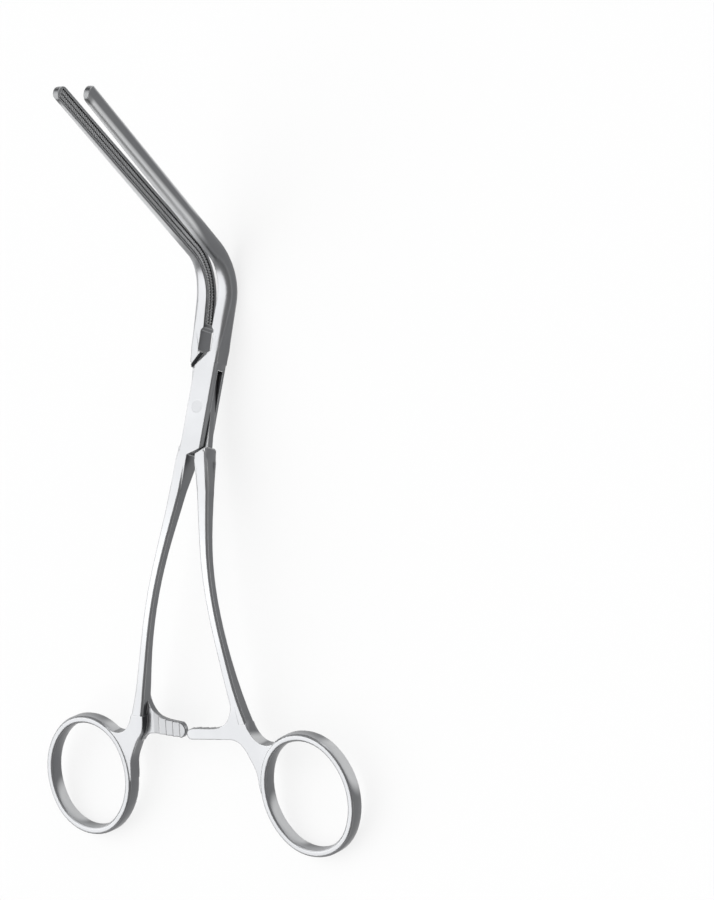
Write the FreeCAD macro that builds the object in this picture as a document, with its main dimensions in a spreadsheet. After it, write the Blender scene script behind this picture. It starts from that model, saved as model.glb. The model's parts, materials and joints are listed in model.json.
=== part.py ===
import FreeCAD, Part

import math
import os

from FreeCAD import Placement, Rotation, Vector

# An arterial clamp of the box-lock kind: two stainless forgings that cross through each other
# and turn on one riveted pin. Each half is drawn flat around the pin: X across the clamp,
# Y from the rings to the jaws, Z along the pin, with the clamp closed. The placements at the
# end open it as it lies in use and lean it onto its bends and rings.

doc = FreeCAD.newDocument("arterial_clamp")
sheet = doc.addObject("Spreadsheet::Sheet", "Sizes")

SIZES = [
    # box lock
    ("lock_width", 7.8, "width of the box across both slots"),
    ("lock_thickness", 5.8, "thickness of the forging at the box"),
    ("front_wall", 1.65, "box wall on the jaw side"),
    ("back_wall", 1.8, "box wall behind"),
    ("web_clearance", 0.05, "running gap on each flat of the web"),
    ("edge_clearance", 0.25, "gap between web edge and slot end"),
    ("upper_gap", 0.6, "gap between jaw shoulder and box wall, closed"),
    ("lower_gap", 0.3, "gap between shank shoulder and box wall, closed"),
    ("wall_top", 10.7, "height of the upper slanted wall end at the box side"),
    ("wall_bottom", 11.6, "depth of the lower slanted wall end at the box side"),
    ("wall_top_rise", 6.05, "rise of the upper wall end over its run"),
    ("wall_top_run", 5.1, "run of the upper wall end, from the box side"),
    ("wall_top_wave", 0.3, "how far the upper wall end swings from a straight line"),
    ("wall_bottom_drop", 2.4, "drop of the lower wall end over its run"),
    ("slot_end", 10.9, "closed end of the slot at the box side"),
    ("slot_end_slant", 1.5, "how far the slot end slants towards the middle"),
    ("slot_open", 0.55, "distance from the middle to the closed half of the slot"),
    ("web_inset", 0.15, "how far the web stays inside the box sides"),
    ("crotch_offset", 0.6, "half gap between the two roots at the lock"),
    ("root_top", 18.0, "where the flat sides of the jaw root end"),
    ("root_bottom", 16.5, "where the flat sides of the shank root end"),
    ("root_side", 4.9, "outer side of the shank root at its end"),
    ("root_flare", 8.5, "depth at which the shank root starts to flare"),
    ("lock_bevel", 0.6, "bevel along the long edges of the box, seen from the front"),
    ("lock_bevel_depth", 0.9, "the same bevel, seen from the side"),
    # pin
    ("pin_diameter", 2.6, "riveted pin"),
    ("pin_clearance", 0.03, "radial running gap of the web on the pin"),
    ("rivet_diameter", 3.6, "countersunk rivet head"),
    ("rivet_depth", 0.5, "depth of the countersink"),
    # jaws
    ("jaw_gap", 0.2, "gap between the closed jaws"),
    ("jaw_root_width", 5.8, "jaw width at the lock"),
    ("jaw_bend_width", 5.1, "jaw width in the bend"),
    ("jaw_tip_width", 4.9, "jaw width at the tip"),
    ("jaw_root_depth", 3.8, "jaw depth at the lock"),
    ("jaw_bend_depth", 4.3, "jaw depth where the bend starts"),
    ("jaw_mid_depth", 3.0, "jaw depth where the bend ends"),
    ("jaw_tip_depth", 1.8, "jaw depth at the tip"),
    ("bend_height", 40.67, "pin to the corner of the jaw bend"),
    ("bend_angle", 66.9, "turn of the jaw"),
    ("bend_radius", 15.0, "centreline radius of the jaw bend"),
    ("jaw_length", 84.6, "corner of the bend to the tip"),
    ("jaw_root_start", 13.1, "height where the jaw root leaves the box"),
    ("root_corner", 0.5, "corner radius of the jaw back at the lock"),
    ("back_corner", 2.0, "corner radius of the jaw back"),
    ("tip_corner", 1.4, "corner radius of the jaw back at the tip"),
    ("relief_depth", 1.1, "hollow behind the gripping face"),
    ("relief_start", 16.2, "lower end of the hollow"),
    ("relief_end", 23.0, "upper end of the hollow"),
    # gripping faces
    ("grip_start", 24.2, "height where grooves and teeth begin"),
    ("grip_margin", 1.3, "plain rim left at the tip"),
    ("groove_width", 0.4, "width of the long grooves"),
    ("groove_depth", 0.5, "depth of the long grooves"),
    ("row_width", 1.05, "width of a row of teeth"),
    ("grip_pitch", 0.8, "spacing of the teeth in a row"),
    ("grip_depth", 0.3, "depth of these teeth"),
    ("grip_sink", 0.06, "crests lie this far below the rims"),
    # shanks
    ("shank_bend", 54.3, "pin to the corner of the shank's set-back"),
    ("shank_bend_angle", 22.4, "angle of the set-back"),
    ("shank_bend_radius", 92.0, "radius of the set-back"),
    ("shank_bevel", 0.6, "bevel along the four edges of a shank"),
    ("shank_root_depth", 12.0, "pin to the top of the shank"),
    ("shank_root_offset", 2.7, "middle plane to the shank at its top"),
    # rings
    ("ring_offset", 32.3, "middle plane to the ring centre"),
    ("ring_reach", 57.3, "corner of the set-back to the ring centre"),
    ("ring_length", 33.86, "ring centreline, long way"),
    ("ring_width", 28.88, "ring centreline, across"),
    ("ring_end_radius", 13.2, "centreline radius at the two ends of the oval"),
    ("ring_tilt", 7.4, "outward lean of the ring's long axis"),
    ("band_width", 2.4, "ring stock, radial"),
    ("band_depth", 4.8, "ring stock, front to back"),
    # ratchet
    ("arm_thickness", 1.9, "thickness of a ratchet arm"),
    ("arm_gap", 0.4, "gap between the crests of the two arms"),
    ("tooth_pitch", 2.45, "ratchet tooth spacing"),
    ("tooth_depth", 0.7, "ratchet tooth depth"),
    ("tooth_count", 5, "teeth on each arm"),
    # pose
    ("open_angle", 6.8, "opening between the halves as they lie"),
]
for row, (alias, value, note) in enumerate(SIZES, 1):
    sheet.set("A%d" % row, note)
    sheet.set("B%d" % row, str(value))
    sheet.setAlias("B%d" % row, alias)
doc.recompute()


def size(alias):
    return float(sheet.get(alias))


def bind(feature, path, formula):
    feature.setExpression(path, formula)


# Planes. A sketch stands on its own body's XY plane, moved and turned by an offset.

def plane(y, z, angle):
    return Placement(Vector(0, y, z), Rotation(Vector(1, 0, 0), angle))


def sketch_on(body, name, where):
    sketch = body.newObject("Sketcher::SketchObject", name)
    flat = [f for f in body.Origin.OriginFeatures if f.Role == "XY_Plane"][0]
    sketch.AttachmentSupport = [(flat, "")]
    sketch.MapMode = "FlatFace"
    sketch.AttachmentOffset = where
    return sketch


def polygon(sketch, points):
    corners = [Vector(x, y, 0) for x, y in points]
    for start, end in zip(corners, corners[1:] + corners[:1]):
        sketch.addGeometry(Part.LineSegment(start, end), False)
    return sketch


CORNER_FLATS = 3


def rounded(sketch, left, right, low, high, radii):
    # a rectangle whose four corners, counted from low left, are rounded in a few narrow flats
    corners = [(left, low, 180), (right, low, 270), (right, high, 0), (left, high, 90)]
    inward = [(1, 1), (-1, 1), (-1, -1), (1, -1)]
    points = []
    for (x, y, first), (sx, sy), radius in zip(corners, inward, radii):
        flats = CORNER_FLATS if radius > 0 else 0
        for i in range(flats + 1):
            a = math.radians(first + i * 90 / CORNER_FLATS)
            points.append((x + radius * (sx + math.cos(a)), y + radius * (sy + math.sin(a))))
    return polygon(sketch, points)


def curve(sketch, points):
    # one smooth curve through the points
    line = Part.BSplineCurve()
    line.interpolate([Vector(x, y, 0) for x, y in points])
    sketch.addGeometry(line, False)


def lines(sketch, points):
    for (x1, y1), (x2, y2) in zip(points, points[1:]):
        sketch.addGeometry(Part.LineSegment(Vector(x1, y1, 0), Vector(x2, y2, 0)), False)


def pad(body, name, sketch, length):
    feature = body.newObject("PartDesign::Pad", name)
    feature.Profile = sketch
    bind(feature, "Length", length)
    feature.SideType = "Symmetric"


def pocket(body, name, sketch, length):
    feature = body.newObject("PartDesign::Pocket", name)
    feature.Profile = sketch
    feature.SideType = "Symmetric"
    feature.AllowMultiFace = True
    bind(feature, "Length", length)


def loft(body, name, sections):
    feature = body.newObject("PartDesign::AdditiveLoft", name)
    feature.Profile = sections[0]
    feature.Sections = sections[1:]
    feature.Ruled = len(sections) == 2
    return feature


# The slanted wall ends of the box, as lines x -> y

half_width = size("lock_width") / 2
root_edge = size("wall_top_run") - half_width
upper_slope = size("wall_top_rise") / size("wall_top_run")
lower_slope = size("wall_bottom_drop") / (half_width + size("crotch_offset"))


def upper_end(x):
    return size("wall_top") + (x + half_width) * upper_slope


def lower_end(x):
    return -size("wall_bottom") + (x - half_width) * lower_slope


slot_bottom = size("back_wall") - size("lock_thickness") / 2
slot_top = size("lock_thickness") / 2 - size("front_wall")
slot_middle = (slot_top + slot_bottom) / 2


# Jaws

def jaw_section(body, side, name, y, z, angle, width, depth, corner):
    # flat gripping face at the middle plane, rounded back
    face = size("jaw_gap") / 2
    where = plane(y, z, 90 + angle)
    sketch = sketch_on(body, name, where)
    ends = sorted([side * face, side * (face + depth)])
    back = [0, corner, corner, 0] if side > 0 else [corner, 0, 0, corner]
    return rounded(sketch, ends[0], ends[1], -width / 2, width / 2, back)


turn = size("bend_angle")
radius = size("bend_radius")
reach = radius * math.tan(math.radians(turn / 2))
start = size("bend_height") - reach
straight = size("jaw_length") - reach


def along(angle, offset=0.0):
    # a point of the bend on the jaw's middle line, or offset away from the centre of the bend
    a = math.radians(angle)
    return start + (radius + offset) * math.sin(a), radius - (radius + offset) * math.cos(a)


def jaw(body, side):
    tip_radius = size("jaw_tip_width") / 2

    root = [
        jaw_section(body, side, "jaw_root_low", size("jaw_root_start"), 0, 0,
                    size("jaw_root_width"), size("jaw_root_depth"), size("root_corner")),
        jaw_section(body, side, "jaw_root_high", start, 0, 0,
                    size("jaw_bend_width"), size("jaw_bend_depth"), size("back_corner")),
    ]
    loft(body, "jaw_root", root)

    steps = 6
    bend = []
    for i in range(steps + 1):
        part = i / steps
        y, z = along(turn * part)
        ease = part * part * (3 - 2 * part)
        depth = size("jaw_bend_depth") + (size("jaw_mid_depth") - size("jaw_bend_depth")) * ease
        bend.append(jaw_section(body, side, "jaw_bend_%d" % i, y, z, turn * part,
                                size("jaw_bend_width"), depth, size("back_corner")))
    loft(body, "jaw_bend", bend)

    y, z = along(turn)
    a = math.radians(turn)
    tip_y = y + straight * math.cos(a)
    tip_z = z + straight * math.sin(a)
    blade = [
        jaw_section(body, side, "jaw_blade_low", y, z, turn,
                    size("jaw_bend_width"), size("jaw_mid_depth"), size("back_corner")),
        jaw_section(body, side, "jaw_blade_tip", tip_y, tip_z, turn,
                    size("jaw_tip_width"), size("jaw_tip_depth"), size("tip_corner")),
    ]
    loft(body, "jaw_blade", blade)

    # the tip is rounded off in the side view: what lies outside the end circle is cut away
    spot = Placement(Vector(0, tip_y, tip_z), Rotation(Vector(1, 0, 0), turn))
    side_view = spot.multiply(Placement(Vector(0, 0, 0), Rotation(Vector(0, 1, 0), -90)))
    sketch = sketch_on(body, "jaw_tip_outline", side_view)
    wide = tip_radius + 1
    middle = Vector(0, -tip_radius, 0)
    circle = Part.Circle(middle, Vector(0, 0, 1), tip_radius)
    sketch.addGeometry(Part.ArcOfCircle(circle, 0, math.pi), False)
    corners = [(-tip_radius, -tip_radius), (-wide, -tip_radius), (-wide, 1),
               (wide, 1), (wide, -tip_radius), (tip_radius, -tip_radius)]
    corners = [Vector(x, y, 0) for x, y in corners]
    for here, there in zip(corners, corners[1:]):
        sketch.addGeometry(Part.LineSegment(here, there), False)
    pocket(body, "jaw_tip", sketch, "4 * Sizes.jaw_bend_depth")

    # hollow behind the gripping face, where the jaws do not meet
    sketch = sketch_on(body, "relief_outline", plane(0, 0, 0))
    floor = side * (size("jaw_gap") / 2 + size("relief_depth"))
    low = size("relief_start")
    high = size("relief_end")
    run = size("relief_depth")
    polygon(sketch, [(-side, low - run), (floor, low), (floor, high - run), (-side, high + run)])
    pocket(body, "relief", sketch, "2 * Sizes.lock_thickness")


def strip(sketch, low, high):
    # a band along the gripping face, between two offsets from its middle line
    edges = []
    for offset in (low, high):
        bend = [Vector(*along(a, offset), 0) for a in (0, turn / 2, turn)]
        a = math.radians(turn)
        end = bend[2] + Vector(math.cos(a), math.sin(a), 0) * (straight - size("grip_margin"))
        first = Vector(size("grip_start"), -offset, 0)
        sketch.addGeometry(Part.LineSegment(first, bend[0]), False)
        sketch.addGeometry(Part.Arc(*bend), False)
        sketch.addGeometry(Part.LineSegment(bend[2], end), False)
        edges.append((first, end))
    for here, there in zip(*edges):
        sketch.addGeometry(Part.LineSegment(here, there), False)


def teeth(body, name, side, where, run, across):
    # saw teeth straight across the rows, cut along a straight run of the jaw
    face = side * size("jaw_gap") / 2
    crest = face + side * size("grip_sink")
    valley = crest + side * size("grip_depth")
    clear = face - side * size("grip_depth")
    count = int(run / size("grip_pitch"))
    pitch = run / count
    points = [(clear, 0)]
    for i in range(count):
        points += [(crest, i * pitch), (valley, (i + 0.5) * pitch)]
    points += [(crest, run), (clear, run)]
    sketch = polygon(sketch_on(body, name + "_outline", where), points)
    pocket(body, name, sketch, across)


def gripping_face(body, side, rows):
    # long grooves on both sides of each row of teeth
    step = size("row_width") + size("groove_width")
    half_groove = size("groove_width") / 2
    flat = Rotation(Vector(0, 1, 0), Vector(0, 0, 1), Vector(1, 0, 0), "XYZ")
    face = Placement(Vector(side * size("jaw_gap") / 2, 0, 0), flat)
    sketch = sketch_on(body, "groove_outline", face)
    for i in range(rows + 1):
        middle = (i - rows / 2) * step
        strip(sketch, middle - half_groove, middle + half_groove)
    pocket(body, "grooves", sketch, "2 * Sizes.groove_depth")
    across = "%d * (Sizes.row_width + Sizes.groove_width)" % rows
    lower = start - size("grip_start")
    teeth(body, "root_teeth", side, plane(size("grip_start"), 0, 0), lower, across)
    y, z = along(turn)
    teeth(body, "blade_teeth", side, plane(y, z, turn), straight - size("grip_margin"), across)

    # round the bend the same tooth is repeated about the centre of the bend
    count = int(math.radians(turn) * radius / size("grip_pitch"))
    half = math.radians(turn) * radius / count / 2
    near = side * size("jaw_gap") / 2
    crest = near + side * size("grip_sink")
    clear = near - side * size("grip_depth")
    y, z = along(turn / count / 2)
    sketch = sketch_on(body, "bend_tooth_outline", plane(y, z, turn / count / 2))
    polygon(sketch, [(clear, -half), (crest, -half), (crest + side * size("grip_depth"), 0),
                     (crest, half), (clear, half)])
    pocket(body, "bend_tooth", sketch, across)
    notch = body.Tip
    centre = sketch_on(body, "bend_centre", Placement(Vector(0, start, radius), flat))
    centre.addGeometry(Part.Circle(Vector(0, 0, 0), Vector(0, 0, 1), radius), True)
    pattern = body.newObject("PartDesign::PolarPattern", "bend_teeth")
    pattern.Originals = [notch]
    pattern.Axis = (centre, ["N_Axis"])
    pattern.Angle = turn * (count - 1) / count
    pattern.Occurrences = count
    body.Tip = pattern


# Shanks: sections down the side view, each a rounded bar

SHANK = [
    # share of the way from the lock down to the ring centre, share of the way out from the lock
    # to the ring's inner side, width, thickness
    (0.0, 0.0, 3.6, 5.6),
    (0.058, 0.017, 4.2, 4.7),
    (0.126, 0.043, 3.9, 4.1),
    (0.210, 0.092, 3.4, 3.6),
    (0.315, 0.168, 3.0, 3.2),
    (0.462, 0.303, 2.8, 3.1),
    (0.630, 0.475, 2.9, 3.3),
    (0.756, 0.620, 3.5, 3.8),
    (0.829, 0.745, 4.2, 3.9),
    (0.892, 0.884, 3.4, 3.9),
    (0.966, 0.983, 1.6, 3.6),
]
ring_inside = size("ring_offset") - size("ring_width") / 2
ring_top = size("ring_length") / 2 - size("ring_reach")


def shank_line(y):
    # height and slope of the shank's centreline in the side view
    slant = math.radians(size("shank_bend_angle"))
    radius = size("shank_bend_radius")
    tangent = radius * math.tan(slant / 2)
    start = -size("shank_bend") + tangent
    end = -size("shank_bend") - tangent * math.cos(slant)
    if y >= start:
        return 0.0, 0.0
    if y >= end:
        angle = math.asin((start - y) / radius)
        return -radius * (1 - math.cos(angle)), math.degrees(angle)
    return (y + size("shank_bend")) * math.tan(slant), math.degrees(slant)


def shank(body, side):
    sections = []
    top = -size("shank_root_depth")
    length = top + size("shank_bend") + size("ring_reach") * math.cos(math.radians(size("shank_bend_angle")))
    for i, (down, out, width, thickness) in enumerate(SHANK):
        y = top - down * length
        offset = size("shank_root_offset") + out * (ring_inside - size("shank_root_offset"))
        z, angle = shank_line(y)
        sketch = sketch_on(body, "shank_%d" % i, plane(y, z, 90 + angle))
        flat_x = width / 2 - size("shank_bevel")
        flat_z = thickness / 2 - size("shank_bevel")
        corners = [(flat_x, -thickness / 2), (width / 2, -flat_z), (width / 2, flat_z),
                   (flat_x, thickness / 2)]
        corners += [(-x, -z) for x, z in corners]
        polygon(sketch, [(side * offset + x, z) for x, z in corners])
        sections.append(sketch)
    loft(body, "shank", sections)


# Rings, ratchet arms and the webs that tie them to the shank, all in the handle plane

def handle_plane():
    return plane(-size("shank_bend"), 0, size("shank_bend_angle"))


def ring_point(side, u, v):
    # u runs down the ring's long axis, v across it
    tilt = math.radians(size("ring_tilt"))
    x = size("ring_offset") + u * math.sin(tilt) - v * math.cos(tilt)
    y = -size("ring_reach") - u * math.cos(tilt) - v * math.sin(tilt)
    return Vector(side * x, y, 0)


# the ring is an oval of four tangent arcs, two small at its ends and two large at its sides
long_half = size("ring_length") / 2
short_half = size("ring_width") / 2
small = size("ring_end_radius")
large = (long_half ** 2 - 2 * long_half * small + short_half ** 2) / (2 * (short_half - small))
end_centre = long_half - small
side_centre = large - short_half
meet = math.degrees(math.atan2(side_centre, end_centre))


def oval_point(side, angle, offset=0.0):
    # a point on the ring's centreline, or offset outwards, by its angle from the ring's top
    if angle <= meet:
        a = math.radians(angle)
        return ring_point(side, -end_centre - (small + offset) * math.cos(a), (small + offset) * math.sin(a))
    a = math.radians(90 - angle)
    return ring_point(side, -(large + offset) * math.sin(a), (large + offset) * math.cos(a) - side_centre)


def ring(body, side):
    spine = sketch_on(body, "ring_line", handle_plane())

    def arc(centre_u, centre_v, bow, middle, half):
        angles = [math.radians(a) for a in (middle - half, middle, middle + half)]
        points = [ring_point(side, centre_u + bow * math.cos(a), centre_v + bow * math.sin(a))
                  for a in angles]
        spine.addGeometry(Part.Arc(*points), False)

    arc(end_centre, 0, small, 0, meet)
    arc(0, -side_centre, large, 90, 90 - meet)
    arc(-end_centre, 0, small, 180, meet)
    arc(0, side_centre, large, 270, 90 - meet)

    # flat stock whose edges are rounded in two steps
    out = ring_point(side, 1, 0) - ring_point(side, 0, 0)
    up = Vector(0, 0, 1)
    facing = Rotation(out, up, out.cross(up), "XYZ")
    first = Placement(ring_point(side, long_half, 0), facing)
    profile = sketch_on(body, "ring_stock", handle_plane().multiply(first))
    width = size("band_width") / 2
    depth = size("band_depth") / 2
    quarter = [(width, 0.56 * depth), (0.8 * width, 0.85 * depth), (0.4 * width, depth)]
    half = quarter + [(-x, z) for x, z in reversed(quarter)]
    polygon(profile, half + [(-x, -z) for x, z in half])
    feature = body.newObject("PartDesign::AdditivePipe", "ring")
    feature.Profile = profile
    feature.Spine = (spine, ["Edge1", "Edge2", "Edge3", "Edge4"])


def near_ring(side, points):
    # points given from the ring's inner side and its top
    return [(side * (ring_inside + x), ring_top + y) for x, y in points]


FULL_ARM = "Sizes.arm_gap + 2 * Sizes.arm_thickness"


def crotch(body, side):
    # web between shank, arm and ring: hollow curves outside, the ring's own line inside
    sketch = sketch_on(body, "crotch_outline", handle_plane())
    half_band = size("band_width") / 2
    outer = near_ring(side, [(-2.86, 3.6), (-1.6, 0.5), (0.54, -1.75), (3.54, -2.5)])
    merge = oval_point(side, 25, 0.8 * half_band)
    outer.append((merge.x, merge.y))
    buried = [oval_point(side, angle) for angle in (25, 40, 55, 70, 85)]
    lower = [oval_point(side, angle, offset) for angle, offset in
             ((83, 0.9 * half_band), (76, 1.2 * half_band), (68, 1.75 * half_band))]
    inner = [(p.x, p.y) for p in lower]
    inner += near_ring(side, [(-3.26, -6.0), (-4.5, -3.6), (-5.8, -1.9), (-6.6, 0.4), (-6.9, 3.6)])
    curve(sketch, outer)
    lines(sketch, outer[-1:] + [(p.x, p.y) for p in buried] + inner[:1])
    curve(sketch, inner)
    lines(sketch, [inner[-1], outer[0]])
    pad(body, "crotch", sketch, FULL_ARM)


# the first tooth is cut in from beyond the arm's tip, by this share of the spacing
TOOTH_LEAD = 0.3


def ratchet(body, side, tip, top, bottom):
    # the arm grows from the shank in two hollow curves and passes the middle plane to its tip
    level = side * (size("arm_gap") + size("arm_thickness")) / 2
    lifted = handle_plane().multiply(Placement(Vector(0, 0, level), Rotation()))
    sketch = sketch_on(body, "arm_outline", lifted)
    root = ring_inside - 4.3
    high = ring_top + top
    low = ring_top + bottom
    upper = [(1.3 - tip, high), (root - 9.3, high + 0.3), (root - 6.1, high + 1.3),
             (root - 4.0, high + 3.6), (root - 2.9, high + 6.8)]
    lower = [(root, low - 2.9), (root - 1.3, low - 1.3), (root - 3.1, low - 0.3), (root - 5.6, low),
             (1.1 - tip, low)]
    upper = [(side * x, y) for x, y in upper]
    lower = [(side * x, y) for x, y in lower]
    curve(sketch, upper)
    lines(sketch, [upper[-1], (side * (root - 1.6), upper[-1][1]), lower[0]])
    curve(sketch, lower[:4])
    lines(sketch, lower[3:])
    ends = [Vector(x, y, 0) for x, y in (lower[-1], (-side * tip, (high + low) / 2), upper[0])]
    sketch.addGeometry(Part.Arc(*ends), False)
    pad(body, "arm", sketch, "Sizes.arm_thickness")

    # saw teeth across the arm: each is steep towards its own shank, so the arms hook
    crest = side * size("arm_gap") / 2
    clear = crest - side * size("arm_gap") * 0.75
    pitch = size("tooth_pitch")
    across = handle_plane().multiply(plane((high + low) / 2, 0, 90))
    sketch = sketch_on(body, "tooth_outline", across)
    for i in range(int(size("tooth_count"))):
        begin = (i - TOOTH_LEAD) * pitch - tip
        notch = [(begin, crest + side * size("tooth_depth")), (begin + pitch, crest),
                 (begin + pitch, clear), (begin, clear)]
        polygon(sketch, [(side * x, z) for x, z in notch])
    pocket(body, "teeth", sketch, "6 * Sizes.tooth_pitch")


# The two forgings

def upper_wave():
    # the upper wall end as the photograph shows it: a flat S that turns up into the jaw's edge
    wave = size("wall_top_wave")
    points = []
    for share, swing in ((0, 0), (0.14, 0.7), (0.38, 0.4), (0.66, -0.6), (0.88, -1), (1, 0)):
        x = share * size("wall_top_run") - half_width
        points.append((x, upper_end(x) + swing * wave))
    return points


def lock_outline(body, name, side):
    # the jaw root, the box and the opposite shank root
    sketch = sketch_on(body, name, plane(0, 0, 0))
    inner = -size("crotch_offset")
    low = -size("root_bottom")
    wave = upper_wave()
    points = [wave[-1], (root_edge, size("root_top")), (half_width, size("root_top")),
              (half_width, -size("wall_bottom")), (inner, lower_end(inner)), (inner, low),
              (-size("root_side"), low), (-half_width, -size("root_flare")), wave[0]]
    curve(sketch, [(side * x, y) for x, y in wave])
    lines(sketch, [(side * x, y) for x, y in points])
    return sketch


def lock_bevels(body):
    # the long edges of the lock are bevelled, front and back
    sketch = sketch_on(body, "lock_bevel_outline", plane(0, 0, 90))
    top = size("lock_thickness") / 2
    wide = size("lock_bevel")
    deep = size("lock_bevel_depth")
    for side_x in (1, -1):
        for side_z in (1, -1):
            corner = [(half_width - wide, top), (half_width - wide, top + wide), (half_width + deep, top + wide),
                      (half_width + deep, top - deep), (half_width, top - deep)]
            polygon(sketch, [(side_x * x, side_z * z) for x, z in corner])
    pocket(body, "lock_bevels", sketch, "2.4 * Sizes.slot_end")


def pin_profile(body, name):
    # half the pin in side view: a shank with a countersunk head spread at each end
    half = size("lock_thickness") / 2
    head = size("rivet_diameter") / 2
    stem = size("pin_diameter") / 2
    neck = half - size("rivet_depth")
    sketch = sketch_on(body, name, plane(0, 0, 90))
    return polygon(sketch, [(0, -half), (head, -half), (stem, -neck), (stem, neck), (head, half),
                            (0, half)])


def turned(body, kind, name, sketch):
    feature = body.newObject("PartDesign::" + kind, name)
    feature.Profile = sketch
    feature.ReferenceAxis = (sketch, ["V_Axis"])
    feature.Angle = 360
    return feature


def female_half():
    body = doc.addObject("PartDesign::Body", "female_half")
    pad(body, "box", lock_outline(body, "box_outline", 1), "Sizes.lock_thickness")
    lock_bevels(body)
    jaw(body, 1)
    shank(body, -1)
    crotch(body, -1)
    ring(body, -1)
    ratchet(body, -1, 2.2, 2.6, -1.7)

    # the slot runs right through the box, closed above on the right and below on the left
    gap = size("slot_open")
    corner = size("slot_end") + size("slot_end_slant")
    past = size("lock_thickness") / 2
    wide = half_width + past
    slant = size("slot_end") - past * size("slot_end_slant") / (half_width - gap)
    high = size("root_top")
    points = [(gap, high), (gap, corner), (wide, slant), (wide, -high),
              (-gap, -high), (-gap, -corner), (-wide, -slant), (-wide, high)]
    sketch = sketch_on(body, "slot_outline", Placement(Vector(0, 0, slot_middle), Rotation()))
    polygon(sketch, points)
    pocket(body, "slot", sketch, "Sizes.lock_thickness - Sizes.front_wall - Sizes.back_wall")
    turned(body, "Groove", "pin_hole", pin_profile(body, "pin_hole_outline"))
    gripping_face(body, 1, 1)
    return body


def male_half():
    body = doc.addObject("PartDesign::Body", "male_half")
    clear = size("edge_clearance")
    gap = size("slot_open") - clear
    corner = size("slot_end") + size("slot_end_slant") - clear
    side = half_width - size("web_inset")
    end = size("slot_end") - clear
    top = size("root_top")
    low = -size("root_bottom")
    inner = size("crotch_offset")
    drop = size("lower_gap") * math.hypot(1, lower_slope)
    shift = size("upper_gap") * math.hypot(1, upper_slope)

    # the web reaches into both roots, past the ends of the box walls
    hold = 2.1
    points = [(gap, upper_end(gap) - clear), (gap, corner), (side, end), (side, -end - hold),
              (side - clear, low + clear), (inner, low + clear), (-gap, lower_end(-gap) + clear),
              (-gap, -corner), (-side, -end), (-side, end + hold), (-side, top - hold),
              (-root_edge, top - hold)]
    web = Placement(Vector(0, 0, slot_middle), Rotation())
    sketch = polygon(sketch_on(body, "web_outline", web), points)
    pad(body, "web", sketch,
        "Sizes.lock_thickness - Sizes.front_wall - Sizes.back_wall - 2 * Sizes.web_clearance")

    points = [(-half_width, upper_end(-half_width) + shift), (-root_edge, upper_end(-root_edge) + shift),
              (-root_edge, top), (-half_width, top)]
    sketch = polygon(sketch_on(body, "jaw_shoulder_outline", plane(0, 0, 0)), points)
    pad(body, "jaw_shoulder", sketch, "Sizes.lock_thickness")

    outer = half_width + (size("root_side") - half_width) * size("root_flare") / size("root_bottom")
    points = [(inner, lower_end(inner) - drop), (outer, lower_end(outer) - drop),
              (size("root_side"), low), (inner, low)]
    sketch = polygon(sketch_on(body, "shank_shoulder_outline", plane(0, 0, 0)), points)
    pad(body, "shank_shoulder", sketch, "Sizes.lock_thickness")
    lock_bevels(body)

    jaw(body, -1)
    shank(body, 1)
    crotch(body, 1)
    ring(body, 1)
    ratchet(body, 1, 5.9, 2.1, -0.9)

    # the jaw and shank roots are cut back to the shoulder lines in front of and behind the web
    past = size("lock_thickness")
    wide = half_width + clear + past / 2
    for name, low_z, high_z in (("front", slot_top - size("web_clearance"), past),
                                ("back", -past, slot_bottom + size("web_clearance"))):
        where = Placement(Vector(0, 0, (low_z + high_z) / 2), Rotation())
        points = [(-wide, upper_end(-wide) + shift), (half_width, upper_end(half_width) + shift),
                  (wide, 0), (wide, lower_end(wide) - drop), (-wide, lower_end(-wide) - drop)]
        sketch = polygon(sketch_on(body, name + "_seat_outline", where), points)
        feature = body.newObject("PartDesign::Pocket", name + "_seat")
        feature.Profile = sketch
        feature.Length = high_z - low_z
        feature.SideType = "Symmetric"
    bore = Part.Circle(Vector(0, 0, 0), Vector(0, 0, 1), size("pin_diameter") / 2 + size("pin_clearance"))
    sketch = sketch_on(body, "pivot_bore_outline", plane(0, 0, 0))
    sketch.addGeometry(bore, False)
    pocket(body, "pivot_bore", sketch, "2 * Sizes.lock_thickness")
    gripping_face(body, -1, 2)
    return body


def pivot_pin():
    # turned pin, spread into countersinks at both ends and ground flush
    body = doc.addObject("PartDesign::Body", "pivot_pin")
    turned(body, "Revolution", "pin", pin_profile(body, "pin_outline"))
    return body


female = female_half()
male = male_half()
pin = pivot_pin()
doc.recompute()

for item in doc.Objects:
    bad = [state for state in item.State if state in ("Invalid", "Error")]
    if bad:
        raise RuntimeError("%s has failed" % item.Name)

# The clamp lies on the backs of its bends and the ends of its rings.

bodies = [female, male, pin]
half_open = size("open_angle") / 2
turns = {"female_half": -half_open, "male_half": half_open, "pivot_pin": -half_open}


def lie(lean):
    return {b.Name: Rotation(Vector(1, 0, 0), lean).multiply(Rotation(Vector(0, 0, 1), turns[b.Name]))
            for b in bodies}


def lowest(body, rotation, front):
    shape = body.Shape.copy()
    shape.Placement = Placement(Vector(0, 0, 0), rotation)
    cell = Part.makeBox(400, 200, 400, Vector(-200, 0 if front else -200, -200))
    return shape.common(cell).optimalBoundingBox(False).ZMin


lean = -10.6
for attempt in range(4):
    rotation = lie(lean)["female_half"]
    front = lowest(female, rotation, True)
    back = lowest(female, rotation, False)
    span = size("bend_height") + size("shank_bend") + size("ring_reach")
    lean += math.degrees((back - front) / span)
    if abs(back - front) < 0.002:
        break
print("lean", round(lean, 3), "front", round(front, 3), "back", round(back, 3))

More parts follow.
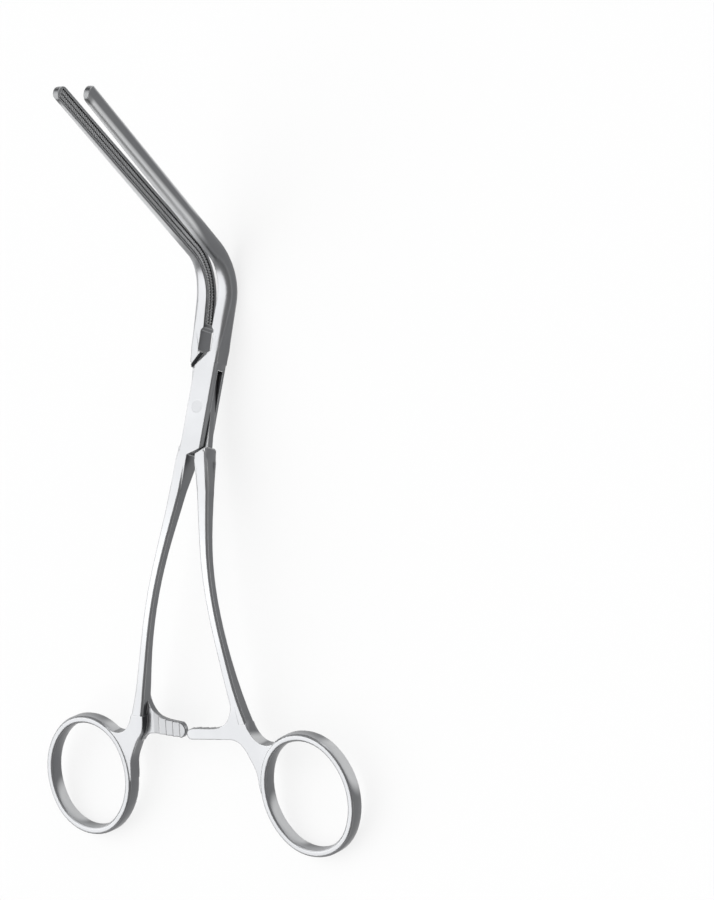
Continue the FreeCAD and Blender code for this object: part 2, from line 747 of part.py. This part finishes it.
rotations = lie(lean)
boxes = []
for body in bodies:
    shape = body.Shape.copy()
    shape.Placement = Placement(Vector(0, 0, 0), rotations[body.Name])
    boxes.append(shape.optimalBoundingBox(False))
shift = Vector(-(min(b.XMin for b in boxes) + max(b.XMax for b in boxes)) / 2,
               -(min(b.YMin for b in boxes) + max(b.YMax for b in boxes)) / 2,
               -min(b.ZMin for b in boxes))
for body in bodies:
    body.Label = body.Name
    body.Placement = Placement(shift, rotations[body.Name])
doc.recompute()

os.makedirs("parts", exist_ok=True)
for body in bodies:
    shape = body.Shape
    if shape.isNull() or not shape.isValid() or len(shape.Solids) != 1:
        raise RuntimeError("%s is not one valid solid" % body.Name)
    shape.exportStep("parts/%s.step" % body.Label)
    print(body.Label, round(shape.Volume, 1), shape.BoundBox)
print("pin at", shift, "axis lean", lean)
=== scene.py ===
import json
import math

import bpy
from mathutils import Matrix, Vector


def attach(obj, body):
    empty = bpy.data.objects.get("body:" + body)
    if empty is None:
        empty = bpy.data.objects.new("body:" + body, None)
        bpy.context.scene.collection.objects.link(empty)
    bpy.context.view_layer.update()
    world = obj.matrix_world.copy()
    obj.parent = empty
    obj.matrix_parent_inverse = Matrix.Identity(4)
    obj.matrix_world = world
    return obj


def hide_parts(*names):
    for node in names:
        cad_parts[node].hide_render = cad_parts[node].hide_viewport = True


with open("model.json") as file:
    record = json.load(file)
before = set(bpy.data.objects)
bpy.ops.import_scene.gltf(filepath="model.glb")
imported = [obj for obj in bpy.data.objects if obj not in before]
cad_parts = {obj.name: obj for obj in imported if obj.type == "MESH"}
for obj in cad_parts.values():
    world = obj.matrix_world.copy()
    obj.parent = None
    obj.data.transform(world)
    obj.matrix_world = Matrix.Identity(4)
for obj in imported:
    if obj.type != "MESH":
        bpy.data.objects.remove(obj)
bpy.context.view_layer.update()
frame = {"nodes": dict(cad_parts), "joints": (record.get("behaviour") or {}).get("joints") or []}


# The camera. The clamp was photographed from its right and a little above its own long axis, so it
# stands nearly upright in the picture. The angles are those of a clamp held with its rings down;
# the clamp lies on the table here, so the whole view is turned down with it.

VIEW_AZIMUTH = math.radians(36.92)
VIEW_ELEVATION = math.radians(9.77)
VIEW_ROLL = math.radians(-5.4)
VIEW_DISTANCE = 1.1996
LYING_TURN = math.radians(-78.947)
PHOTO_WIDTH = 714
PHOTO_HEIGHT = 900
FOCAL_PIXELS = 4209.2
PIN_PIXEL = (202.8, 407.9)
SENSOR = 36.0
NEAR_CLIP = 0.01
FAR_CLIP = 20

pin = Vector(frame["joints"][0]["pos_m"])
back = Vector((math.sin(VIEW_AZIMUTH) * math.cos(VIEW_ELEVATION),
               -math.cos(VIEW_AZIMUTH) * math.cos(VIEW_ELEVATION),
               math.sin(VIEW_ELEVATION)))
right = Vector((math.cos(VIEW_AZIMUTH), math.sin(VIEW_AZIMUTH), 0))
right.rotate(Matrix.Rotation(VIEW_ROLL, 3, back))
up = back.cross(right)
for direction in (right, up, back):
    direction.rotate(Matrix.Rotation(LYING_TURN, 3, "X"))
left_of_middle = PHOTO_WIDTH / 2 - PIN_PIXEL[0]
below_middle = PIN_PIXEL[1] - PHOTO_HEIGHT / 2
aim = (right * left_of_middle + up * below_middle) / FOCAL_PIXELS
depth = (back - aim).normalized()
across = up.cross(depth).normalized()

camera_data = bpy.data.cameras.new("photo_camera")
camera = bpy.data.objects.new("photo_camera", camera_data)
bpy.context.scene.collection.objects.link(camera)
camera_data.sensor_width = SENSOR
camera_data.lens = FOCAL_PIXELS * SENSOR / PHOTO_HEIGHT
camera_data.clip_start = NEAR_CLIP
camera_data.clip_end = FAR_CLIP
stand = Matrix((across, depth.cross(across), depth)).transposed().to_4x4()
stand.translation = pin + back * VIEW_DISTANCE
camera.matrix_world = stand
bpy.context.scene.camera = camera


# The two forgings, stainless steel. Each half is forged in one with its jaw, shank, finger ring and
# ratchet arm, then ground and satin polished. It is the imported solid, welded into one skin, with the
# small forms that the grinding leaves where the jaw and the shank run into the lock.

def linear(code):
    # an sRGB hex code as linear red, green, blue and full alpha
    channels = [int(code[i:i + 2], 16) / 255 for i in (1, 3, 5)]
    return [c / 12.92 if c <= 0.04045 else ((c + 0.055) / 1.055) ** 2.4 for c in channels] + [1]


def add_node(tree, kind, links=None, **settings):
    # one shader node: settings by attribute, links by input name or number, from sockets or values
    made = tree.nodes.new(kind)
    for name, value in settings.items():
        setattr(made, name, value)
    for name, source in (links or {}).items():
        if isinstance(source, bpy.types.NodeSocket):
            tree.links.new(source, made.inputs[name])
        else:
            made.inputs[name].default_value = source
    return made


# lengths are in metres; places in the lock are measured from the pin, across and along the shut half
WELD = 1e-6
SEAM_WELD = 5e-6
FLAT_ANGLE = math.radians(0.2)
SMOOTH_ANGLE = math.radians(34)
HALF_OPENING = math.radians(3.4)
CORNER_RUN = (0.0129, 0.0181)
CORNER_OUT = 0.0036
CORNER_UP = 0.00285
CORNER_BEVEL = 0.00072
SHOULDER_RUN = (-0.0164, -0.0109)
SHOULDER_SHARE = 0.45
BOX_SIDE = 0.0039
JAW_ROOT = (0.0172, 0.0222)
SHANK_ROOT = (-0.0245, -0.0158)
ROOT_CUTS = 8

# the shanks' run down to the webs above the rings, on the lying clamp, and the slope of the webs
FLUSH_START = -0.049
FLUSH_FULL = -0.0642
FLUSH_END = -0.0722
FLUSH_STEP = 0.001
FLUSH_LIFT = 0.000215
FLUSH_REACH = 0.0013
FLUSH_ALREADY = 0.00004
SHANK_SIDE = (0.0118, 0.024)
WEB_PLACE = -0.065
WEB_TOP = 0.01361
WEB_SLOPE = 0.2
WEB_DEPTH = 0.00428

hinge_axis = Vector(frame["joints"][0]["axis"])
lean = Matrix.Rotation(-math.atan2(hinge_axis.y, hinge_axis.z), 3, "X")


def bevel_lock_corners(piece, stance):
    # the box's corner bevels are carried on along its outer edges to the jaw and shank roots
    lock = [stance.inverted() @ (corner.co - pin) for corner in piece.data.vertices]
    outer = [CORNER_RUN[0] < abs(p.y) < CORNER_RUN[1]
             and abs(p.x) > CORNER_OUT
             and abs(p.z) > CORNER_UP for p in lock]
    for corner in piece.data.vertices:
        corner.select = False
    for face in piece.data.polygons:
        face.select = False
    for side in piece.data.edges:
        side.select = outer[side.vertices[0]] and outer[side.vertices[1]]
    bpy.ops.object.mode_set(mode="EDIT")
    bpy.ops.mesh.select_mode(type="EDGE")
    bpy.ops.mesh.bevel(offset=CORNER_BEVEL, segments=1)
    bpy.ops.mesh.select_mode(type="VERT")
    bpy.ops.object.mode_set(mode="OBJECT")


def draw_in_shoulders(piece, stance):
    # the shoulders on the shank root come in towards the sides of the box
    for corner in piece.data.vertices:
        spot = stance.inverted() @ (corner.co - pin)
        past = abs(spot.x) - BOX_SIDE
        if SHOULDER_RUN[0] < spot.y < SHOULDER_RUN[1] and past > 0:
            spot.x = math.copysign(BOX_SIDE + past * SHOULDER_SHARE, spot.x)
            corner.co = pin + stance @ spot


def run_out_ledge(piece, along, near, far):
    # the short length that holds a ledge is cut out, and its two open ends are bridged
    for reach in (near, far):
        bpy.ops.mesh.select_all(action="SELECT")
        bpy.ops.mesh.bisect(plane_co=pin + along * reach, plane_no=along)
    bpy.ops.mesh.select_all(action="DESELECT")
    bpy.ops.object.mode_set(mode="OBJECT")
    for face in piece.data.polygons:
        face.select = near < (face.center - pin).dot(along) < far
    bpy.ops.object.mode_set(mode="EDIT")
    bpy.ops.mesh.select_mode(type="FACE")
    bpy.ops.mesh.delete(type="FACE")
    bpy.ops.mesh.select_mode(type="EDGE")
    bpy.ops.mesh.select_all(action="DESELECT")
    bpy.ops.mesh.select_non_manifold(extend=False)
    bpy.ops.mesh.bridge_edge_loops(number_cuts=ROOT_CUTS, interpolation="LINEAR")
    bpy.ops.mesh.select_mode(type="VERT")


def lift_shank_flush(piece):
    # the shank is cut across every millimetre and eased out, front and back, to meet the flat web
    cuts = round((FLUSH_START - FLUSH_FULL) / FLUSH_STEP)
    for cut in range(cuts + 1):
        bpy.ops.mesh.select_all(action="SELECT")
        bpy.ops.mesh.bisect(plane_co=(0, FLUSH_START - cut * FLUSH_STEP, 0), plane_no=(0, 1, 0))
    bpy.ops.object.mode_set(mode="OBJECT")
    for corner in piece.data.vertices:
        if not FLUSH_END < corner.co.y < FLUSH_START:
            continue
        if not SHANK_SIDE[0] < abs(corner.co.x) < SHANK_SIDE[1]:
            continue
        web_top = WEB_TOP + WEB_SLOPE * (corner.co.y - WEB_PLACE)
        below_top = web_top - corner.co.z
        above_bottom = WEB_DEPTH - below_top
        run = min(1, (FLUSH_START - corner.co.y) / (FLUSH_START - FLUSH_FULL))
        lift = FLUSH_LIFT * run * run * (3 - 2 * run)
        if FLUSH_ALREADY < below_top < FLUSH_REACH:
            corner.co.z += min(lift, below_top)
        elif FLUSH_ALREADY < above_bottom < FLUSH_REACH:
            corner.co.z -= min(lift, above_bottom)
    bpy.ops.object.mode_set(mode="EDIT")


def weld_forging(node_name, piece_name, body, turn):
    # one half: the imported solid's faces in a new object, welded, with the ground forms at the lock
    piece = bpy.data.objects.new(piece_name, frame["nodes"][node_name].data.copy())
    piece.data.name = piece_name
    bpy.context.scene.collection.objects.link(piece)
    bpy.ops.object.select_all(action="DESELECT")
    piece.select_set(True)
    bpy.context.view_layer.objects.active = piece
    bpy.ops.object.mode_set(mode="EDIT")
    bpy.ops.mesh.select_mode(type="VERT")
    bpy.ops.mesh.select_all(action="SELECT")
    bpy.ops.mesh.customdata_custom_splitnormals_clear()
    bpy.ops.mesh.remove_doubles(threshold=WELD)
    bpy.ops.object.mode_set(mode="OBJECT")
    stance = lean @ Matrix.Rotation(turn, 3, "Z")
    bevel_lock_corners(piece, stance)
    draw_in_shoulders(piece, stance)
    bpy.ops.object.mode_set(mode="EDIT")
    along = stance @ Vector((0, 1, 0))
    for near, far in (JAW_ROOT, SHANK_ROOT):
        run_out_ledge(piece, along, near, far)
    bpy.ops.mesh.select_all(action="SELECT")
    bpy.ops.mesh.normals_make_consistent(inside=False)
    bpy.ops.mesh.dissolve_limited(angle_limit=FLAT_ANGLE)
    lift_shank_flush(piece)
    bpy.ops.mesh.select_all(action="SELECT")
    bpy.ops.mesh.remove_doubles(threshold=SEAM_WELD)
    bpy.ops.object.mode_set(mode="OBJECT")
    bpy.ops.object.shade_smooth_by_angle(angle=SMOOTH_ANGLE)
    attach(piece, body)
    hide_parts(node_name)
    return piece


box_forging = weld_forging("female_half", "box_half_forging", "box_body", -HALF_OPENING)
web_forging = weld_forging("male_half", "web_half_forging", "web_body", HALF_OPENING)

# Satin polished stainless steel: a soft sheen with no mirror in it and a very fine grain. Its colour
# carries painted light and shade: fronts painted lighter than the side walls, painted highlights on the
# edges and jaws, a painted reflection on the rings' walls and painted shade in recesses and at the jaw
# tips.
# The real grain is about 0.05 mm, too fine to show, so it is drawn ten times as coarse.
GRAIN_MM = 0.5
GRAIN_DETAIL = 3.0
GRAIN_BUMP = 0.05
GRAIN_HEIGHT = 0.0001
CLOUD_SCALE = 90.0
CLOUD_DETAIL = 2.0
SATIN_ROUGHNESS = (0.28, 0.38)
EDGE_ROUGHNESS = 0.24
EDGE_RADIUS = 0.0004
EDGE_SAMPLES = 6
EDGE_FACING = (0.995, 0.90)
# how squarely a face must point along the pin to be painted light rather than painted shade
FRONT_LIGHT_FACING = (0.2, 0.7)
JAW_RISE = (0.013, 0.024)
JAW_FACE = (0.0, -0.825, 0.565)
JAW_FACING = (0.05, 0.6)
JAW_FACE_LIGHT = (0.2, 0.75)
TIP_RISE = (0.0690, 0.0708)
# where the painted reflection on the rings' walls falls
RING_REFLECTION_DIRECTION = (0.77, 0.64, 0.0)
RING_REFLECTION_FACING = (0.80, 0.93)
RING_TOP = (-0.0715, -0.0735)
RATCHET_SIDE = 0.0112
RATCHET_TOP = -0.06
RECESS_DEPTH = 0.0009
RECESS_SAMPLES = 8
RECESS_OPEN = (0.3, 0.85)
# painted light and shade: lit fronts and jaws, shaded walls and jaw tips, a ring-wall reflection, edge
# highlights, a ratchet shade line and recess shade
LOCK_TONES = ("#a6a7a9", "#b6b7b9")
SHADED_WALL_TONES = ("#66676a", "#777879")
JAW_HIGHLIGHT_TONE = "#d2d3d4"
TIP_SHADE_TONE = "#88898a"
RING_REFLECTION_TONE = "#c4c5c6"
EDGE_HIGHLIGHT_TONE = "#c9cacb"
RATCHET_SHADE_LINE = "#3a3a3b"
RECESS_SHADE_TONE = "#3d3d3e"

steel = bpy.data.materials.new("satin_polished_stainless_steel")
steel.use_nodes = True
tree = steel.node_tree
shader = tree.nodes["Principled BSDF"]
shader.inputs["Metallic"].default_value = 1
place = add_node(tree, "ShaderNodeTexCoord")
rounded = add_node(tree, "ShaderNodeBevel", {"Radius": EDGE_RADIUS}, samples=EDGE_SAMPLES)
shape = add_node(tree, "ShaderNodeNewGeometry")
facing = add_node(tree, "ShaderNodeVectorMath",
                  {0: rounded.outputs["Normal"], 1: shape.outputs["Normal"]}, operation="DOT_PRODUCT")
edge = add_node(tree, "ShaderNodeMapRange", {"Value": facing.outputs["Value"],
                                             "From Min": EDGE_FACING[0], "From Max": EDGE_FACING[1]})
# the fronts, square to the pin, and on the risen jaws the faces along them, are painted lightest:
# painted light, against the painted shade of the side walls
flat_part = add_node(tree, "ShaderNodeVectorMath",
                     {0: place.outputs["Normal"], 1: hinge_axis}, operation="DOT_PRODUCT")
flat_size = add_node(tree, "ShaderNodeMath", {0: flat_part.outputs["Value"]}, operation="ABSOLUTE")
side_part = add_node(tree, "ShaderNodeVectorMath",
                     {0: place.outputs["Normal"], 1: JAW_FACE}, operation="DOT_PRODUCT")
side_size = add_node(tree, "ShaderNodeMath", {0: side_part.outputs["Value"]}, operation="ABSOLUTE")
narrow = add_node(tree, "ShaderNodeMapRange", {"Value": side_size.outputs["Value"],
                                               "From Min": JAW_FACING[0], "From Max": JAW_FACING[1],
                                               "To Min": JAW_FACE_LIGHT[0], "To Max": JAW_FACE_LIGHT[1]})
height = add_node(tree, "ShaderNodeSeparateXYZ", {"Vector": place.outputs["Object"]})
on_jaw = add_node(tree, "ShaderNodeMapRange",
                  {"Value": height.outputs["Z"], "From Min": JAW_RISE[0], "From Max": JAW_RISE[1]},
                  interpolation_type="SMOOTHSTEP")
front = add_node(tree, "ShaderNodeMix",
                 {"Factor": on_jaw.outputs["Result"], "A": flat_size.outputs["Value"],
                  "B": narrow.outputs["Result"]}, data_type="FLOAT")
painted_front_light = add_node(tree, "ShaderNodeMapRange",
                  {"Value": front.outputs["Result"], "From Min": FRONT_LIGHT_FACING[0],
                   "From Max": FRONT_LIGHT_FACING[1]}, interpolation_type="SMOOTHSTEP")
grain = add_node(tree, "ShaderNodeTexNoise", {"Vector": place.outputs["Object"],
                                              "Scale": 1000 / GRAIN_MM, "Detail": GRAIN_DETAIL})
cloud = add_node(tree, "ShaderNodeTexNoise", {"Vector": place.outputs["Object"],
                                              "Scale": CLOUD_SCALE, "Detail": CLOUD_DETAIL})
lock_tone = add_node(tree, "ShaderNodeMix",
                     {"Factor": cloud.outputs["Fac"], "A": linear(LOCK_TONES[0]),
                      "B": linear(LOCK_TONES[1])}, data_type="RGBA")
# the jaws' painted highlight turns to painted shade at their tips
at_tip = add_node(tree, "ShaderNodeMapRange",
                  {"Value": height.outputs["Z"], "From Min": TIP_RISE[0], "From Max": TIP_RISE[1]},
                  interpolation_type="SMOOTHSTEP")
jaw_highlight_and_tip_shade = add_node(tree, "ShaderNodeMix",
                    {"Factor": at_tip.outputs["Result"], "A": linear(JAW_HIGHLIGHT_TONE),
                     "B": linear(TIP_SHADE_TONE)}, data_type="RGBA")
face_tone = add_node(tree, "ShaderNodeMix",
                     {"Factor": on_jaw.outputs["Result"], "A": lock_tone.outputs["Result"],
                      "B": jaw_highlight_and_tip_shade.outputs["Result"]}, data_type="RGBA")
# the side walls take a darker painted shade, with a random cloud in it
shaded_wall = add_node(tree, "ShaderNodeMix",
                      {"Factor": cloud.outputs["Fac"], "A": linear(SHADED_WALL_TONES[0]),
                       "B": linear(SHADED_WALL_TONES[1])}, data_type="RGBA")
# the rings' walls carry a painted reflection, light where they face the jaws and the right
ring_reflection_facing = add_node(tree, "ShaderNodeVectorMath",
                  {0: place.outputs["Normal"], 1: RING_REFLECTION_DIRECTION}, operation="DOT_PRODUCT")
ring_reflection_size = add_node(tree, "ShaderNodeMapRange",
                     {"Value": ring_reflection_facing.outputs["Value"], "From Min": RING_REFLECTION_FACING[0],
                      "From Max": RING_REFLECTION_FACING[1]}, interpolation_type="SMOOTHSTEP")
in_rings = add_node(tree, "ShaderNodeMapRange",
                    {"Value": height.outputs["Y"], "From Min": RING_TOP[0], "From Max": RING_TOP[1]},
                    interpolation_type="SMOOTHSTEP")
ring_reflection_share = add_node(tree, "ShaderNodeMath",
                      {0: ring_reflection_size.outputs["Result"], 1: in_rings.outputs["Result"]},
                      operation="MULTIPLY")
wall_shade_and_reflection = add_node(tree, "ShaderNodeMix",
                     {"Factor": ring_reflection_share.outputs["Value"], "A": shaded_wall.outputs["Result"],
                      "B": linear(RING_REFLECTION_TONE)}, data_type="RGBA")
tone = add_node(tree, "ShaderNodeMix",
                {"Factor": painted_front_light.outputs["Result"], "A": wall_shade_and_reflection.outputs["Result"],
                 "B": face_tone.outputs["Result"]}, data_type="RGBA")
# edges carry a painted highlight, except the ratchet's teeth, whose corners hold a painted dark shade
# line
across_ratchet = add_node(tree, "ShaderNodeMath", {0: height.outputs["X"]}, operation="ABSOLUTE")
inside_arms = add_node(tree, "ShaderNodeMath",
                       {0: across_ratchet.outputs["Value"], 1: RATCHET_SIDE}, operation="LESS_THAN")
below_shanks = add_node(tree, "ShaderNodeMath",
                        {0: height.outputs["Y"], 1: RATCHET_TOP}, operation="LESS_THAN")
on_ratchet = add_node(tree, "ShaderNodeMath",
                      {0: inside_arms.outputs["Value"], 1: below_shanks.outputs["Value"]},
                      operation="MULTIPLY")
edge_highlight_and_shade = add_node(tree, "ShaderNodeMix",
                     {"Factor": on_ratchet.outputs["Value"], "A": linear(EDGE_HIGHLIGHT_TONE),
                      "B": linear(RATCHET_SHADE_LINE)}, data_type="RGBA")
with_painted_edges = add_node(tree, "ShaderNodeMix",
                {"Factor": edge.outputs["Result"], "A": tone.outputs["Result"],
                 "B": edge_highlight_and_shade.outputs["Result"]}, data_type="RGBA")
# narrow gaps, tooth roots and inner corners are painted darker: painted shade, from ambient occlusion
recess = add_node(tree, "ShaderNodeAmbientOcclusion", {"Distance": RECESS_DEPTH}, samples=RECESS_SAMPLES)
hollow = add_node(tree, "ShaderNodeMapRange", {"Value": recess.outputs["AO"],
                                               "From Min": RECESS_OPEN[0], "From Max": RECESS_OPEN[1]})
with_recess_shade = add_node(tree, "ShaderNodeMix",
                  {"Factor": hollow.outputs["Result"], "A": linear(RECESS_SHADE_TONE),
                   "B": with_painted_edges.outputs["Result"]}, data_type="RGBA")
matt = add_node(tree, "ShaderNodeMapRange", {"Value": grain.outputs["Fac"],
                                             "To Min": SATIN_ROUGHNESS[0], "To Max": SATIN_ROUGHNESS[1]})
sheen = add_node(tree, "ShaderNodeMix",
                 {"Factor": edge.outputs["Result"], "A": matt.outputs["Result"],
                  "B": EDGE_ROUGHNESS}, data_type="FLOAT")
bump = add_node(tree, "ShaderNodeBump", {"Height": grain.outputs["Fac"],
                                         "Normal": rounded.outputs["Normal"],
                                         "Strength": GRAIN_BUMP, "Distance": GRAIN_HEIGHT})
tree.links.new(with_recess_shade.outputs["Result"], shader.inputs["Base Color"])
tree.links.new(sheen.outputs["Result"], shader.inputs["Roughness"])
tree.links.new(bump.outputs["Normal"], shader.inputs["Normal"])
for piece in (box_forging, web_forging):
    piece.data.materials.clear()
    piece.data.materials.append(steel)


# The pivot pin, stainless wire riveted into countersinks and ground flush with the box, so that it
# hardly shows: the same satin steel and grain, a shade duller than the fronts round it.

PIN_TONES = ("#a2a3a5", "#b0b1b3")

pin_steel = bpy.data.materials.new("ground_flush_stainless_steel")
pin_steel.use_nodes = True
tree = pin_steel.node_tree
shader = tree.nodes["Principled BSDF"]
shader.inputs["Metallic"].default_value = 1
place = add_node(tree, "ShaderNodeTexCoord")
grain = add_node(tree, "ShaderNodeTexNoise", {"Vector": place.outputs["Object"],
                                              "Scale": 1000 / GRAIN_MM, "Detail": GRAIN_DETAIL})
tone = add_node(tree, "ShaderNodeMix",
                {"Factor": grain.outputs["Fac"], "A": linear(PIN_TONES[0]),
                 "B": linear(PIN_TONES[1])}, data_type="RGBA")
matt = add_node(tree, "ShaderNodeMapRange", {"Value": grain.outputs["Fac"],
                                             "To Min": SATIN_ROUGHNESS[0], "To Max": SATIN_ROUGHNESS[1]})
bump = add_node(tree, "ShaderNodeBump", {"Height": grain.outputs["Fac"],
                                         "Strength": GRAIN_BUMP, "Distance": GRAIN_HEIGHT})
tree.links.new(tone.outputs["Result"], shader.inputs["Base Color"])
tree.links.new(matt.outputs["Result"], shader.inputs["Roughness"])
tree.links.new(bump.outputs["Normal"], shader.inputs["Normal"])
pin_node = frame["nodes"]["pivot_pin"]
pin_node.data.materials.clear()
pin_node.data.materials.append(pin_steel)


# The studio: a clear sheet over a white table, under one large soft lamp from the upper left, a weak
# one low behind the jaws, and an even pale room. The sheet keeps a faint shadow, and the space under
# it leaves room for the ring that swings down as the clamp opens.

TABLE_SIZE = 6.0
TABLE_DROP = 0.03
TABLE_TONE = "#fafafa"
TABLE_ROUGHNESS = 0.9
NO_GLOSS = 0.0
SHEET_CLEAR = 0.8
WHITE = (1, 1, 1, 1)
KEY_DIRECTION = Vector((-0.6, -0.03, 0.79))
KEY_STRENGTH = 2.85
KEY_SPREAD = math.radians(90)
BACK_DIRECTION = Vector((0.36, 0.9, 0.25))
BACK_STRENGTH = 0.35
BACK_SPREAD = math.radians(30)
ROOM_STRENGTH = 0.27

for stand_name, drop in (("clear_sheet", 0), ("white_table", TABLE_DROP)):
    bpy.ops.object.select_all(action="DESELECT")
    bpy.ops.mesh.primitive_plane_add(size=TABLE_SIZE, location=(0, 0, -drop))
    stage = bpy.context.object
    stage.name = stand_name
    laminate = bpy.data.materials.new(stand_name + "_laminate")
    laminate.use_nodes = True
    tree = laminate.node_tree
    surface = tree.nodes["Principled BSDF"]
    surface.inputs["Base Color"].default_value = linear(TABLE_TONE)
    surface.inputs["Roughness"].default_value = TABLE_ROUGHNESS
    surface.inputs["Specular IOR Level"].default_value = NO_GLOSS
    # to the eye and in reflections the table is plain white, and the sheet over it mostly clear
    ray = add_node(tree, "ShaderNodeLightPath")
    seen = add_node(tree, "ShaderNodeMath",
                    {0: ray.outputs["Is Camera Ray"], 1: ray.outputs["Is Glossy Ray"]},
                    operation="MAXIMUM")
    seen_all = add_node(tree, "ShaderNodeMath",
                        {0: seen.outputs["Value"], 1: ray.outputs["Is Transmission Ray"]},
                        operation="MAXIMUM")
    if drop:
        behind = add_node(tree, "ShaderNodeEmission", {"Color": WHITE, "Strength": 1.0})
        share = seen_all
    else:
        behind = add_node(tree, "ShaderNodeBsdfTransparent")
        share = add_node(tree, "ShaderNodeMath", {0: seen_all.outputs["Value"], 1: SHEET_CLEAR},
                         operation="MULTIPLY")
    shown = add_node(tree, "ShaderNodeMixShader",
                     {"Fac": share.outputs["Value"], 1: surface.outputs["BSDF"], 2: behind.outputs[0]})
    tree.links.new(shown.outputs["Shader"], tree.nodes["Material Output"].inputs["Surface"])
    stage.data.materials.append(laminate)

for lamp_name, direction, strength, spread in (
        ("soft_key", KEY_DIRECTION, KEY_STRENGTH, KEY_SPREAD),
        ("low_back", BACK_DIRECTION, BACK_STRENGTH, BACK_SPREAD)):
    lamp_data = bpy.data.lights.new(lamp_name, "SUN")
    lamp_data.energy = strength
    lamp_data.angle = spread
    lamp = bpy.data.objects.new(lamp_name, lamp_data)
    lamp.rotation_euler = direction.to_track_quat("Z", "Y").to_euler()
    bpy.context.scene.collection.objects.link(lamp)

room = bpy.data.worlds.new("pale_room")
bpy.context.scene.world = room
room.use_nodes = True
room.node_tree.nodes["Background"].inputs["Color"].default_value = WHITE
room.node_tree.nodes["Background"].inputs["Strength"].default_value = ROOM_STRENGTH
bpy.context.scene.view_settings.view_transform = "Standard"
